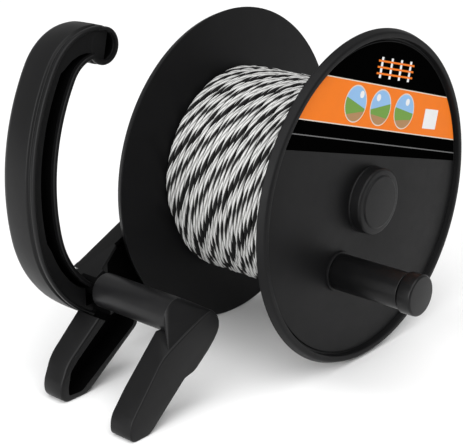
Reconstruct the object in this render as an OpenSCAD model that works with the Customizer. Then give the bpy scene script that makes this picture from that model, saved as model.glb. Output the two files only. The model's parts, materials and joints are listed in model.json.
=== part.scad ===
// Electric fence reel: a hand-wound drum of fence wire on a carrying frame.
// The drum turns on a fixed axle, and a crank grip on the near flange turns it.
// Axle along Y, crank on the -Y side, carrying handle on the -X side, +Z up, standing on the floor.

/* [Drum] */
// Diameter of both flanges
flange_d = 200; // [180:1:220]
// Thickness of a flange floor
floor_t = 2; // [1.5:0.1:4]
// Height of the raised rim over the floor
rim_h = 3; // [2:0.1:5]
// Radial width of the raised rim
rim_w = 5.5; // [4:0.1:10]
// How much the rim narrows towards its face
rim_taper = 2; // [0:0.1:2.5]
// Clear width between the two flanges
drum_w = 102; // [80:1:130]
// Outside diameter of the barrel
barrel_d = 60; // [54:1:80]
// Wall of the barrel
barrel_wall = 3; // [2:0.1:5]
// Thickness of the two end webs of the barrel
web_t = 3; // [2:0.1:6]
// Diameter of the two hub tubes inside the barrel
hub_d = 36; // [36:1:44]
// Length of each hub tube
hub_len = 22; // [16:1:35]

/* [Winding] */
// Diameter over the wound wire
wound_d = 128.6; // [90:0.1:170]
// Diameter of the turns drawn on the outer layer
wire_d = 3.5; // [2.5:0.1:3.6]
// Number of turns drawn on the outer layer
wire_loops = 24; // [8:1:24]
// Air between the winding and the flanges, the barrel and its own core
wire_gap = 0.4; // [0.3:0.1:1]

/* [Axle] */
// Diameter of the axle
axle_d = 12; // [10:0.5:13]
// Diameter of the threaded axle end
thread_d = 10; // [8:0.5:10]
// Radial running clearance of every turning fit
run_gap = 0.05; // [0.03:0.01:0.1]
// Radial clearance of pieces that sit still in each other
seat_gap = 0.1; // [0.05:0.01:0.3]
// Axial play at every thrust face
thrust_gap = 0.2; // [0.1:0.05:0.5]
// Wall of the two bushes
bush_wall = 3; // [2:0.1:3.5]
// Diameter of the bush collars
collar_d = 23; // [22:0.5:24]
// Thickness of the front bush collar
collar_t = 1.5; // [1:0.1:2]
// Thickness of the thrust washers and of the washer under the nut
washer_t = 1.5; // [1:0.1:2]
// Thickness of the axle clip
clip_t = 1.4; // [1:0.1:1.6]
// Width across the flats of the axle nut
nut_af = 17; // [15:0.5:18]
// Height of the axle nut
nut_h = 5.5; // [4:0.1:6]

/* [Hub cap] */
// Diameter of the hub cap
cap_d = 39.6; // [39:0.1:46]
// Height of the hub cap over the flange floor
cap_h = 9; // [8:0.1:12]
// Wall of the hub cap
cap_wall = 1.8; // [1.5:0.1:2]

/* [Flange screws] */
// Circle on which the flange screws sit
screw_circle_d = 29.6; // [29:0.1:30.5]
// Shank diameter of a flange screw
screw_d = 3; // [2.5:0.1:3.2]
// Head diameter of a flange screw
screw_head_d = 5.2; // [4.5:0.1:5.4]
// Head height of a flange screw
screw_head_h = 1.8; // [1.2:0.1:2]
// Shank length of a flange screw
screw_len = 14; // [10:1:15]

/* [Crank] */
// Distance of the crank from the axle
crank_r = 46; // [40:0.5:60]
// Direction of the crank from the axle, in degrees
crank_a = -127; // [-180:1:180]
// Diameter of the raised boss under the crank
boss_d = 24; // [20:0.5:30]
// Height of that boss over the flange floor
boss_h = 1.5; // [1:0.1:6]
// Diameter of the turning sleeve
sleeve_d = 21.5; // [20:0.5:26]
// Length of the turning sleeve
sleeve_len = 45.5; // [35:0.5:60]
// Diameter of the crank spindle
spindle_d = 8; // [6:0.5:9]
// Thread diameter of the crank spindle
spindle_thread_d = 6; // [5:0.5:6]
// Diameter of the spindle head
spindle_head_d = 13.5; // [11:0.5:14]
// Height of the spindle head
spindle_head_h = 3.8; // [3:0.1:5]
// Diameter of the pocket for the head in the sleeve
pocket_d = 16; // [15:0.5:17]
// Depth of that pocket
pocket_depth = 7; // [6.5:0.1:10]
// Thickness of the crank washer
crank_washer_t = 1; // [0.8:0.1:1.2]
// Diameter of the end cap
end_cap_d = 24; // [21:0.5:30]
// Length of the end cap
end_cap_len = 9; // [6:0.5:14]
// Width of the groove between sleeve and end cap
groove_w = 1; // [0.6:0.1:2]

/* [Label] */
// Air between the label's round edge and the rim
label_margin = 2.5; // [1.5:0.1:20]
// Distance of the straight lower edge from the axle
label_chord = 26; // [24:0.5:50]
// Turn of the label, in degrees
label_a = -14.7; // [-45:0.1:45]
// Thickness of the label
label_t = 0.3; // [0.2:0.05:0.6]

/* [Carrying frame] */
// Air between the rear flange and the arm
arm_gap = 1.5; // [1:0.1:4]
// Thickness of the arm
arm_t = 12.5; // [12:0.1:16]
// Depth of the handle along the axle
handle_depth = 27.5; // [22:0.5:32]
// How far the handle stands out behind the arm
handle_proud = 3.5; // [0:0.1:6]
// Width of the handle section
handle_w = 17.6; // [15:0.1:22]
// Outer wall of the handle section
outer_wall = 3.4; // [2.5:0.1:5]
// Inner wall of the handle section
inner_wall = 2.6; // [2:0.1:4]
// Width of the shallow band of the handle
band_w = 5; // [3:0.1:6]
// Depth of the shallow band
band_depth = 2.5; // [1:0.1:6]
// Depth of the slot beside the band
slot_depth = 20; // [10:0.5:22]
// Distance of the grip from the axle
handle_reach = 160.5; // [155:0.1:180]
// Height of the grip's middle over the axle
handle_rise = 17.3; // [5:0.1:30]
// Bend radius of the grip
handle_r = 133; // [120:1:150]
// Bend radius of the top of the handle
top_r = 28; // [24:0.5:34]
// Angle at which the grip passes into the top bend
top_a = 150; // [146:0.5:156]
// Angle at which the top bend ends
tip_a = 77; // [70:1:90]
// Depth of the pocket in the round tip
tip_depth = 13; // [8:0.5:20]
// Radius of the round tip
tip_r = 10.9; // [9.5:0.1:12]
// Bend radius of the bottom of the handle
low_r = 65; // [60:0.5:70]
// Angle at which the grip passes into the bottom bend
low_a = 191; // [186:0.5:194]
// Angle over which the slot is closed beside the bar
slot_end_a = 17; // [8:1:24]
// Radius of the hub boss that holds the axle
boss_r = 18; // [17:0.5:24]
// Radius of the block that holds the cross bar
block_r = 10.5; // [10:0.5:12]
// Distance of the arm's lower edge from the bar
arm_low = 40; // [14:0.5:44]
// Distance of the arm's upper edge from the bar
arm_high = 4.2; // [2:0.1:8]

/* [Cross bar and legs] */
// Horizontal distance of the cross bar from the axle
bar_reach = 125; // [121:0.5:130]
// Distance of the cross bar below the axle
bar_drop = 43.6; // [38:0.1:50]
// Diameter of the cross bar
bar_d = 20.3; // [18:0.1:22]
// Diameter of the spigots at its ends
spigot_d = 14; // [10:0.5:15]
// Length of the rear spigot
rear_spigot_len = 14; // [10:0.5:15]
// Length of the front spigot
front_spigot_len = 6; // [4:0.5:6.5]
// How far the rear leg stands forward of the handle
leg_lead = 11; // [8:0.5:14]
// Depth of the rear leg along the axle
rear_leg_t = 15.5; // [14:0.5:20]
// Floor of the hollow in both legs
leg_floor_t = 3; // [2:0.1:5]
// Horizontal distance of the rear foot's heel from the axle
rear_foot_reach = 165.7; // [160:0.1:172]
// Horizontal distance of the front foot's heel from the axle
front_foot_reach = 171.2; // [168:0.1:178]
// Distance of the front leg behind the crank flange
front_leg_y = 27; // [20:0.5:32]
// Depth of the front leg along the axle
front_leg_t = 15.5; // [14:0.5:20]
// How far its top leans forward
lean = 5; // [3:0.5:8]
// How far the cross bar's shoulder stops ahead of the leg's back
bar_short = 6; // [4:0.5:8]

/* [Hidden] */
$fn = 96;
eps = 0.05;
floor_z = -flange_d / 2;
inner_0 = floor_t;
inner_1 = floor_t + drum_w;
rear_face = inner_1 + floor_t;
rear_rim = rear_face + rim_h;
arm_y = rear_rim + arm_gap;
back_y = arm_y + arm_t;
handle_back = back_y + handle_proud;
handle_y = handle_back - handle_depth;
rear_leg_y = handle_y - leg_lead;
front_leg_back = front_leg_y + front_leg_t;
bar_front = front_leg_back - bar_short;
flange_clear = flange_d / 2 + 3.5;
label_r = flange_d / 2 - rim_w - label_margin;

// Axle line, from the front clip to the nut in its pocket
axle_r = axle_d / 2;
bush_r = axle_r + run_gap + bush_wall;
front_washer_1 = -collar_t - thrust_gap;
front_washer_0 = front_washer_1 - washer_t;
clip_0 = front_washer_0 - clip_t;
axle_front = clip_0 - 1.3;
rear_washer_0 = arm_y - washer_t;
rear_collar = rear_washer_0 - thrust_gap;
nut_0 = back_y - 0.5 - nut_h;
pocket_y = nut_0 - washer_t;
nut_pocket_r = nut_af / 2 / cos(30) + 1.8;

// Crank line, from the boss to the end cap
crank_x = crank_r * cos(crank_a);
crank_z = crank_r * sin(crank_a);
sleeve_0 = -boss_h - thrust_gap;
sleeve_1 = sleeve_0 - sleeve_len;
pocket_floor = sleeve_1 + pocket_depth;
washer_1 = pocket_floor - thrust_gap;
head_1 = washer_1 - crank_washer_t;
head_0 = head_1 - spindle_head_h;
cap_1 = sleeve_1 - groove_w;
cap_0 = cap_1 - end_cap_len;

// Handle line: three tangent bends round these centres
grip_c = [handle_r - handle_reach, handle_rise];
top_c = grip_c + (handle_r - top_r) * [cos(top_a), sin(top_a)];
low_c = grip_c + (handle_r - low_r) * [cos(low_a), sin(low_a)];
bar_c = [-bar_reach, -bar_drop];
low_end = 360 + atan2(bar_c.y - low_c.y, bar_c.x - low_c.x);
tip_c = top_c + (top_r - 2.5) * [cos(tip_a), sin(tip_a)];
tip_step = 0.6;
tip_open_a = 32;
mouth_gap = 0.3;
slot_w = handle_w - outer_wall - inner_wall - band_w;

// Overall box, for the origin at the middle of the base
x_low = -max(handle_reach + handle_w / 2, front_foot_reach, rear_foot_reach);
origin = [-(x_low + flange_d / 2) / 2, -(cap_0 + handle_back) / 2, flange_d / 2];

// Winding
turn_r = wound_d / 2 - wire_d / 2 * cos(30);
ring_step = 15;
wind_0 = inner_0 + wire_gap + wire_d / 2;
wind_1 = inner_1 - wire_gap - wire_d / 2;
pitch = (wind_1 - wind_0) / wire_loops;
core_r = turn_r * cos(ring_step / 2) - wire_d / 2 * cos(30) - wire_gap;
bend_r = wire_d;
wind_a = 200;

function unit(v) = v / norm(v);

// Points of one rounded corner at p between neighbours a and b
function corner(p, a, b, r, n) =
    let (
        u = unit(a - p),
        v = unit(b - p),
        half = acos(max(-1, min(1, u * v))) / 2,
        c = p + unit(u + v) * (r / sin(half)),
        s = p + u * (r / tan(half)) - c,
        turn = 180 - 2 * half,
        side = u.x * v.y - u.y * v.x > 0 ? -1 : 1
    )
    [for (k = [0:n]) let (w = side * turn * k / n)
        c + [s.x * cos(w) - s.y * sin(w), s.x * sin(w) + s.y * cos(w)]];

// Outline through points [x, y, radius] with its corners rounded
function smooth(pts, n = 5) =
    let (m = len(pts))
    [for (i = [0:m - 1])
        let (
            p = [pts[i].x, pts[i].y],
            a = [pts[(i + m - 1) % m].x, pts[(i + m - 1) % m].y],
            b = [pts[(i + 1) % m].x, pts[(i + 1) % m].y],
            r = pts[i].z
        )
        each (r > 0 ? corner(p, a, b, r, n) : [p])];

function near_bar(dx, dz, r) = [bar_c.x + dx, bar_c.y + dz, r];
function near_heel(reach, dx, dz, r) = [-reach + dx, floor_z + dz, r];

module place() translate(origin) children();

// Turns a body made along Z so that it lies along the axle
module along() rotate([-90, 0, 0]) children();

// Plain round bar along the axle's direction
module rod(r, y0, y1) along() translate([0, 0, y0]) cylinder(r = r, h = y1 - y0);

module tube(r0, r1, y0, y1) along() translate([0, 0, y0]) difference() {
    cylinder(r = r1, h = y1 - y0);
    translate([0, 0, -1]) cylinder(r = r0, h = y1 - y0 + 2);
}

// Plate of an outline in X and Z between two depths
module plate(y0, y1) translate([0, y1, 0]) rotate([90, 0, 0]) linear_extrude(y1 - y0) children();

module at(p) translate([p.x, 0, p.y]) children();

// Carrying frame: one moulding of handle, arm, rear leg and the blocks for axle and bar

// Section of the handle, drawn inward by g so that one bend can start inside the next
function handle_section(g) = smooth([
    [handle_w / 2 - g, -handle_y - g, 1.2],
    [handle_w / 2 - outer_wall + g, -handle_y - g, 0.8],
    [handle_w / 2 - outer_wall + g, -handle_y - band_depth - g, 0],
    [-handle_w / 2 + inner_wall + slot_w + g, -handle_y - band_depth - g, 0.6],
    [-handle_w / 2 + inner_wall + slot_w + g, -handle_y - slot_depth - g, 0.6],
    [-handle_w / 2 + inner_wall - g, -handle_y - slot_depth - g, 0.6],
    [-handle_w / 2 + inner_wall - g, -handle_y - g, 0.6],
    [-handle_w / 2 + g, -handle_y - g, 1],
    [-handle_w / 2 + g, -handle_back + g, 2.5],
    [handle_w / 2 - g, -handle_back + g, 5]
], 4);

module bend(c, r, a0, a1, g) at(c) rotate([90, 0, 0]) rotate([0, 0, a0])
    rotate_extrude(angle = a1 - a0) translate([r, 0]) polygon(handle_section(g));

module handle_bends() {
    bend(top_c, top_r, tip_a, top_a + 1, 0.03);
    bend(grip_c, handle_r, top_a, low_a, 0);
    bend(low_c, low_r, low_a - 1, low_end, 0.03);
    at(low_c) rotate([90, 0, 0]) rotate([0, 0, low_end - slot_end_a])
        rotate_extrude(angle = slot_end_a - 0.5)
            translate([low_r - handle_w / 2 + inner_wall - 0.4, -handle_y - slot_depth - 0.4])
                square([slot_w + 0.8, slot_depth - band_depth + 0.2]);
}

// Room inside the round tip, from the mouth of the channel down to a depth
module tip_room(depth) at(tip_c) rod(tip_r - outer_wall, handle_y - 1, handle_y + depth);

module tip() difference() {
    at(tip_c) union() {
        rod(tip_r, handle_y, handle_back - 4);
        rod(tip_r - 2.5, handle_y, handle_back);
        rod(tip_r - 0.8, handle_y, handle_back - 1.5);
    }
    tip_room(band_depth - mouth_gap);
    intersection() {
        tip_room(tip_depth);
        at(tip_c) rotate([0, 90 - tip_a, 0]) translate([tip_step, handle_y - 2, -tip_r])
            cube([tip_r, tip_depth + 4, 2 * tip_r]);
    }
    at(top_c) rotate([90, 0, 0]) rotate([0, 0, tip_a]) rotate_extrude(angle = tip_open_a)
        translate([top_r - handle_w / 2 + inner_wall + mouth_gap, -handle_y - band_depth + mouth_gap])
            square([handle_w - inner_wall - outer_wall - 2 * mouth_gap, band_depth + 1]);
}

// Web from the bar's block to the hub boss; its straight edges run a little inside the boss
arm_root = boss_r - 0.5;
arm_d = norm(bar_c);
arm_a = atan2(-bar_c.y, -bar_c.x);
arm_up = arm_a + asin((arm_root - arm_high) / arm_d);
arm_down = arm_a - asin((arm_root - arm_low) / arm_d);
arm_outline = [
    arm_root * [-sin(arm_up), cos(arm_up)],
    bar_c + arm_high * [-sin(arm_up), cos(arm_up)],
    bar_c + arm_low * [sin(arm_down), -cos(arm_down)],
    arm_root * [sin(arm_down), -cos(arm_down)]
];

module arm() difference() {
    union() {
        plate(handle_y, back_y) polygon(arm_outline);
        rod(boss_r, arm_y, back_y);
    }
    translate([0, 0, -flange_d]) linear_extrude(2 * flange_d) polygon([
        [-bar_reach - 4, handle_y - 1],
        [-bar_reach - 4, handle_y],
        [-flange_clear + 7, arm_y],
        [flange_d, arm_y],
        [flange_d, handle_y - 1]
    ]);
}

rear_leg_outline = smooth([
    near_bar(-8, -7.5, 0),
    near_heel(rear_foot_reach, 6, 24.6, 9),
    near_heel(rear_foot_reach, 0, 10, 7),
    near_heel(rear_foot_reach, 1, 0, 6),
    near_heel(rear_foot_reach, 20.5, 0, 9),
    near_bar(22, -26, 5),
    near_bar(15, 3, 5),
    near_bar(0, 2, 0)
]);

rear_hollow = smooth([
    near_bar(-3, -14.6, 2),
    near_heel(rear_foot_reach, 14.6, 24.2, 4),
    near_heel(rear_foot_reach, 8, 18, 3),
    near_heel(rear_foot_reach, 5.8, 9, 3),
    near_heel(rear_foot_reach, 5.8, 3.8, 2),
    near_heel(rear_foot_reach, 15.8, 3.2, 3),
    near_bar(17.8, -25.2, 4),
    near_bar(13.8, -9.6, 3)
]);

module rear_leg() difference() {
    plate(rear_leg_y, rear_leg_y + rear_leg_t) polygon(rear_leg_outline);
    plate(rear_leg_y - 1, rear_leg_y + rear_leg_t - leg_floor_t) polygon(rear_hollow);
}

module handle_frame() place() color("#232323") difference() {
    union() {
        difference() {
            handle_bends();
            at(tip_c) rod(tip_r - 0.5, handle_y - 1, handle_back - 3);
        }
        tip();
        arm();
        rear_leg();
        at(bar_c) rod(block_r, handle_y, back_y);
    }
    rod(flange_clear, handle_y - leg_lead - 5, arm_y);
    at(bar_c) rod(bar_d / 2 + seat_gap, rear_leg_y - 5, handle_y);
    at(bar_c) rod(spigot_d / 2 + seat_gap, handle_y - 1, handle_y + rear_spigot_len + 1);
    at(bar_c) rod(bar_screw_d / 2 + seat_gap, handle_y, back_y + 1);
    at(bar_c) rod(bar_head_d / 2 + 2, bar_seat, back_y + 1);
    rod(thread_d / 2 + seat_gap, arm_y - 1, back_y + 1);
    rod(nut_pocket_r, pocket_y, back_y + 1);
}

// Cross bar with its screw at the back
bar_screw_d = 5;
bar_head_d = 9;
bar_head_h = 3;
bar_washer_t = 1;
bar_seat = handle_y + rear_spigot_len + 5;

module crossbar() place() color("#2b2b2b") at(bar_c) difference() {
    union() {
        rod(bar_d / 2, bar_front, handle_y);
        rod(spigot_d / 2, handle_y - 1, handle_y + rear_spigot_len);
        rod(spigot_d / 2, bar_front - front_spigot_len, bar_front + 1);
    }
    rod(bar_screw_d / 2 + seat_gap, handle_y - 6, handle_y + rear_spigot_len + 1);
}

module crossbar_washer() place() color("#b8bbbd") at(bar_c)
    tube(bar_screw_d / 2 + seat_gap, bar_head_d / 2 + 1.5, bar_seat, bar_seat + bar_washer_t);

module crossbar_screw() place() color("#a9adb0") at(bar_c) difference() {
    union() {
        rod(bar_head_d / 2, bar_seat + bar_washer_t, bar_seat + bar_washer_t + bar_head_h);
        rod(bar_screw_d / 2, handle_y - 5, bar_seat + bar_washer_t + 1);
    }
    along() translate([0, 0, bar_seat + bar_washer_t + bar_head_h - 1.6]) cylinder(d = 4.6, h = 4, $fn = 6);
}

// Front leg: a closed moulding whose top takes the bar's spigot, hollow from behind
front_outline = smooth([
    near_bar(-6, -20, 0),
    near_bar(-19.6, -18.9, 4),
    near_heel(front_foot_reach, 0.6, 11.6, 6),
    near_heel(front_foot_reach, 0, 5, 3),
    near_heel(front_foot_reach, 0.8, 0, 4),
    near_heel(front_foot_reach, 15, 0, 7),
    near_bar(-6.2, -34.6, 3),
    near_bar(0, -29, 0)
]);

front_hollow = smooth([
    near_bar(-19.2, -25, 2),
    near_heel(front_foot_reach, 3.4, 10.8, 4),
    near_heel(front_foot_reach, 5, 3, 2),
    near_heel(front_foot_reach, 13, 3, 4),
    near_bar(-10.5, -32, 2)
]);

module front_leg() place() color("#262626") difference() {
    union() {
        plate(front_leg_y, front_leg_back) polygon(front_outline);
        hull($fn = 32) {
            at(bar_c) rod(bar_d / 2, front_leg_y, bar_front);
            at(bar_c + [9, -7.5]) rod(bar_d / 2 + 0.4, front_leg_y - lean, bar_front);
            plate(front_leg_y, front_leg_back) polygon([
                bar_c + [-19.6, -18.9],
                bar_c + [-18.6, -20],
                bar_c + [-4, -32.6],
                bar_c + [2.5, -32.2],
                bar_c + [6, -30]
            ]);
        }
    }
    plate(front_leg_y + leg_floor_t, front_leg_back + 1) polygon(front_hollow);
    at(bar_c) rod(spigot_d / 2 + seat_gap, bar_front - front_spigot_len - 0.5, bar_front + 1);
    at(bar_c) rod(bar_d / 2 + seat_gap, bar_front, front_leg_back + 1);
}

// Axle with its clip, washers and nut
module axle() place() color("#9ea2a5") difference() {
    union() {
        rod(axle_r, axle_front, arm_y);
        rod(thread_d / 2, arm_y - 1, back_y - 0.2);
    }
    tube(axle_r - 1, axle_r + 1, clip_0 - eps, front_washer_0);
}

module axle_clip() place() color("#8d9194") difference() {
    tube(axle_r - 1 + seat_gap, axle_r + 2.5, clip_0, front_washer_0);
    translate([-1.6, clip_0 - 1, 0]) cube([3.2, clip_t + 2, axle_d]);
}

module front_thrust_washer() place() color("#c4c6c8")
    tube(axle_r + seat_gap, collar_d / 2 - 0.5, front_washer_0, front_washer_1);

module rear_thrust_washer() place() color("#c4c6c8")
    tube(axle_r + seat_gap, collar_d / 2 - 0.5, rear_washer_0, arm_y);

module axle_washer() place() color("#b8bbbd")
    tube(thread_d / 2 + seat_gap, nut_af / 2 + 1, pocket_y, nut_0);

module axle_nut() place() color("#a9adb0") along() translate([0, 0, nut_0]) difference() {
    intersection() {
        cylinder(d = nut_af / cos(30), h = nut_h, $fn = 6);
        cylinder(d1 = nut_af * 1.08 + 2, d2 = nut_af * 1.08, h = nut_h);
    }
    translate([0, 0, -1]) cylinder(r = thread_d / 2 + run_gap, h = nut_h + 2);
}

// Drum: barrel, two flanges, bushes, screws and cap
module screw_ring() for (k = [0:2]) rotate([0, -120 * k - 90, 0]) translate([screw_circle_d / 2, 0, 0]) children();

module drum_barrel() place() color("#1c1c1c") difference() {
    along() rotate_extrude() polygon([
        [bush_r + seat_gap, inner_0],
        [barrel_d / 2, inner_0],
        [barrel_d / 2, inner_1],
        [bush_r + seat_gap, inner_1],
        [bush_r + seat_gap, inner_1 - hub_len],
        [hub_d / 2, inner_1 - hub_len],
        [hub_d / 2, inner_1 - web_t],
        [barrel_d / 2 - barrel_wall, inner_1 - web_t],
        [barrel_d / 2 - barrel_wall, inner_0 + web_t],
        [hub_d / 2, inner_0 + web_t],
        [hub_d / 2, inner_0 + hub_len],
        [bush_r + seat_gap, inner_0 + hub_len]
    ]);
    screw_ring() rod(screw_d / 2 + run_gap, inner_0 - 1, inner_0 + screw_len);
    screw_ring() rod(screw_d / 2 + run_gap, inner_1 - screw_len, inner_1 + 1);
}

// Flange as a turned shape, with its rim on the low side of the list
module flange_disc() rotate_extrude() polygon(concat(
    [[bush_r + seat_gap, floor_t], [bush_r + seat_gap, 0]],
    smooth([
        [flange_d / 2 - rim_w - 2, 0, 0],
        [flange_d / 2 - rim_w, 0, 1.2],
        [flange_d / 2 - rim_w, -rim_h, 1],
        [flange_d / 2 - rim_taper, -rim_h, 1.2],
        [flange_d / 2, floor_t, 1],
        [flange_d / 2 - 3, floor_t, 0]
    ], 4)
));

module crank_flange() place() color("#202020") difference() {
    union() {
        along() flange_disc();
        at([crank_x, crank_z]) rod(boss_d / 2, -boss_h, eps);
    }
    screw_ring() rod(screw_d / 2 + seat_gap, -1, floor_t + 1);
    at([crank_x, crank_z]) rod(spindle_thread_d / 2 + seat_gap, -boss_h - 1, floor_t - 0.4);
}

module rear_flange() place() color("#202020") difference() {
    translate([0, rear_face, 0]) mirror([0, 1, 0]) along() flange_disc();
    screw_ring() rod(screw_d / 2 + seat_gap, inner_1 - 1, rear_face + 1);
}

module front_bush() place() color("#d8d6cc") {
    tube(axle_r + run_gap, bush_r, -collar_t, inner_0 + hub_len - 2);
    tube(bush_r - 1, collar_d / 2, -collar_t, 0);
}

module rear_bush() place() color("#d8d6cc") {
    tube(axle_r + run_gap, bush_r, inner_1 - hub_len + 2, rear_collar);
    tube(bush_r - 1, collar_d / 2, rear_face, rear_collar);
}

module screw(y, up) translate([0, y, 0]) mirror([0, up ? 0 : 1, 0]) {
    rod(screw_head_d / 2, 0, screw_head_h);
    rod(screw_d / 2, floor_t + 1 - screw_len, 0.5);
}

module one_screw(k, y, up) place() color("#a9adb0") rotate([0, -120 * k - 90, 0])
    translate([screw_circle_d / 2, 0, 0]) screw(y, up);

module front_screw_1() one_screw(0, 0, false);
module front_screw_2() one_screw(1, 0, false);
module front_screw_3() one_screw(2, 0, false);
module rear_screw_1() one_screw(0, rear_face, true);
module rear_screw_2() one_screw(1, rear_face, true);
module rear_screw_3() one_screw(2, rear_face, true);

module hub_cap() place() color("#1f1f1f") along() rotate_extrude() polygon(concat(
    [[0, -cap_h + cap_wall], [0, -cap_h]],
    smooth([
        [cap_d / 2 - 6, -cap_h, 0],
        [cap_d / 2, -cap_h, 2],
        [cap_d / 2, -1, 0],
        [cap_d / 2 + 0.3, -0.7, 0],
        [cap_d / 2 + 0.3, 0, 0],
        [cap_d / 2 - cap_wall, 0, 0],
        [cap_d / 2 - cap_wall, -cap_h + cap_wall, 1]
    ], 4)
));

module label() place() color("#15120f") plate(-label_t, 0) rotate(label_a) intersection() {
    circle(r = label_r);
    translate([-label_r, label_chord]) square([2 * label_r, label_r]);
}

// Crank: spindle screwed into the boss, turning sleeve, washer and end cap
module crank_spindle() place() color("#a9adb0") at([crank_x, crank_z]) difference() {
    union() {
        rod(spindle_d / 2, head_1 - 0.5, -boss_h);
        rod(spindle_thread_d / 2, -boss_h - 1, floor_t - 0.6);
        rod(spindle_head_d / 2, head_0, head_1);
    }
    along() translate([0, 0, head_0 - 1]) cylinder(d = 6, h = 3, $fn = 6);
}

module crank_washer() place() color("#b8bbbd") at([crank_x, crank_z])
    tube(spindle_d / 2 + seat_gap, spindle_head_d / 2 + 0.6, head_1, washer_1);

module crank_sleeve() place() color("#1a1a1a") at([crank_x, crank_z]) difference() {
    along() rotate_extrude() polygon(concat(
        [[spindle_d / 2 + run_gap, sleeve_0]],
        [[spindle_d / 2 + run_gap, pocket_floor], [pocket_d / 2, pocket_floor], [pocket_d / 2, sleeve_1]],
        smooth([
            [sleeve_d / 2 - 1.5, sleeve_1, 0],
            [sleeve_d / 2, sleeve_1, 0.8],
            [sleeve_d / 2, sleeve_0, 0.8],
            [sleeve_d / 2 - 1.5, sleeve_0, 0]
        ], 4)
    ));
}

module crank_end_cap() place() color("#1d1d1d") at([crank_x, crank_z]) along() rotate_extrude() polygon(concat(
    [[0, sleeve_1 + 1], [0, cap_0]],
    smooth([
        [end_cap_d / 2 - 4, cap_0, 0],
        [end_cap_d / 2, cap_0, 1.6],
        [end_cap_d / 2, cap_1, 0.8],
        [sleeve_d / 2 - 1.2, cap_1, 0],
        [sleeve_d / 2 - 1.2, sleeve_1, 0],
        [pocket_d / 2 - seat_gap, sleeve_1, 0],
        [pocket_d / 2 - seat_gap, sleeve_1 + 1, 0]
    ], 4)
));

// Wound wire: a plain core with one wound outer layer
function spoke(a) = [cos(a), 0, sin(a)];
function tangent(a) = [-sin(a), 0, cos(a)];
ring_count = wire_loops * 360 / ring_step;
end_a = wind_a + wire_loops * 360;

// Each ring is [centre, outward normal]; both ends bend square into the core
function lead(w) = [
    turn_r * spoke(wind_a) + [0, wind_0, 0] - bend_r * (sin(w) * tangent(wind_a) + (1 - cos(w)) * spoke(wind_a)),
    cos(w) * spoke(wind_a) - sin(w) * tangent(wind_a)
];
function trail(w) = [
    turn_r * spoke(end_a) + [0, wind_1, 0] + bend_r * (sin(w) * tangent(end_a) - (1 - cos(w)) * spoke(end_a)),
    cos(w) * spoke(end_a) + sin(w) * tangent(end_a)
];
function turned(i) = let (a = wind_a + i * ring_step) [
    turn_r * spoke(a) + [0, wind_0 + pitch * i * ring_step / 360, 0],
    spoke(a)
];
rings = concat(
    [[lead(90)[0] - wire_d * spoke(wind_a), lead(90)[1]]],
    [for (w = [90, 60, 30]) lead(w)],
    [for (i = [0:ring_count]) turned(i)],
    [for (w = [30, 60, 90]) trail(w)],
    [[trail(90)[0] - wire_d * spoke(end_a), trail(90)[1]]]
);
sides = 6;
function ring_point(r, k) = r[0] + wire_d / 2 * (cos(60 * k + 30) * r[1] + sin(60 * k + 30) * [0, 1, 0]);
wire_points = [for (r = rings) for (k = [0:sides - 1]) ring_point(r, k)];
last = len(rings) - 1;
wire_faces = concat(
    [for (i = [0:last - 1]) for (k = [0:sides - 1]) [i * sides + k, i * sides + (k + 1) % sides, (i + 1) * sides + k]],
    [for (i = [0:last - 1]) for (k = [0:sides - 1])
        [i * sides + (k + 1) % sides, (i + 1) * sides + (k + 1) % sides, (i + 1) * sides + k]],
    [for (k = [1:sides - 2]) [0, k + 1, k]],
    [for (k = [1:sides - 2]) [last * sides, last * sides + k, last * sides + k + 1]]
);

// Least gap between neighbouring turns, measured on the ring points
turn_step = 360 / ring_step;
least_gap = min([for (i = [4:last - turn_step - 4]) for (j = [0:sides - 1]) for (k = [0:sides - 1])
    norm(wire_points[i * sides + j] - wire_points[(i + turn_step) * sides + k])]);
echo(least_gap_of_turns = least_gap);

module wire_winding() place() color("#d9d8d4") polyhedron(wire_points, wire_faces);

module end_pocket(a, y, dir) rotate([0, -a, 0]) translate([
    core_r - 2 * bend_r - wire_d,
    y - wire_d / 2 - wire_gap,
    dir > 0 ? -wire_d : -bend_r - wire_d
]) cube([3 * bend_r + wire_d, wire_d + 2 * wire_gap, bend_r + 2 * wire_d]);

module wire_core() place() color("#bdbcb8") difference() {
    tube(barrel_d / 2 + wire_gap, core_r, inner_0 + wire_gap, inner_1 - wire_gap);
    end_pocket(wind_a, wind_0, -1);
    end_pocket(end_a, wind_1, 1);
}

handle_frame();
crossbar();
crossbar_washer();
crossbar_screw();
front_leg();
axle();
axle_clip();
front_thrust_washer();
rear_thrust_washer();
axle_washer();
axle_nut();
drum_barrel();
crank_flange();
rear_flange();
front_bush();
rear_bush();
front_screw_1();
front_screw_2();
front_screw_3();
rear_screw_1();
rear_screw_2();
rear_screw_3();
hub_cap();
label();
crank_spindle();
crank_washer();
crank_sleeve();
crank_end_cap();
wire_core();
wire_winding();
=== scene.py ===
import json
import math

import bmesh
import bpy
from mathutils import Matrix, Vector


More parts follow.
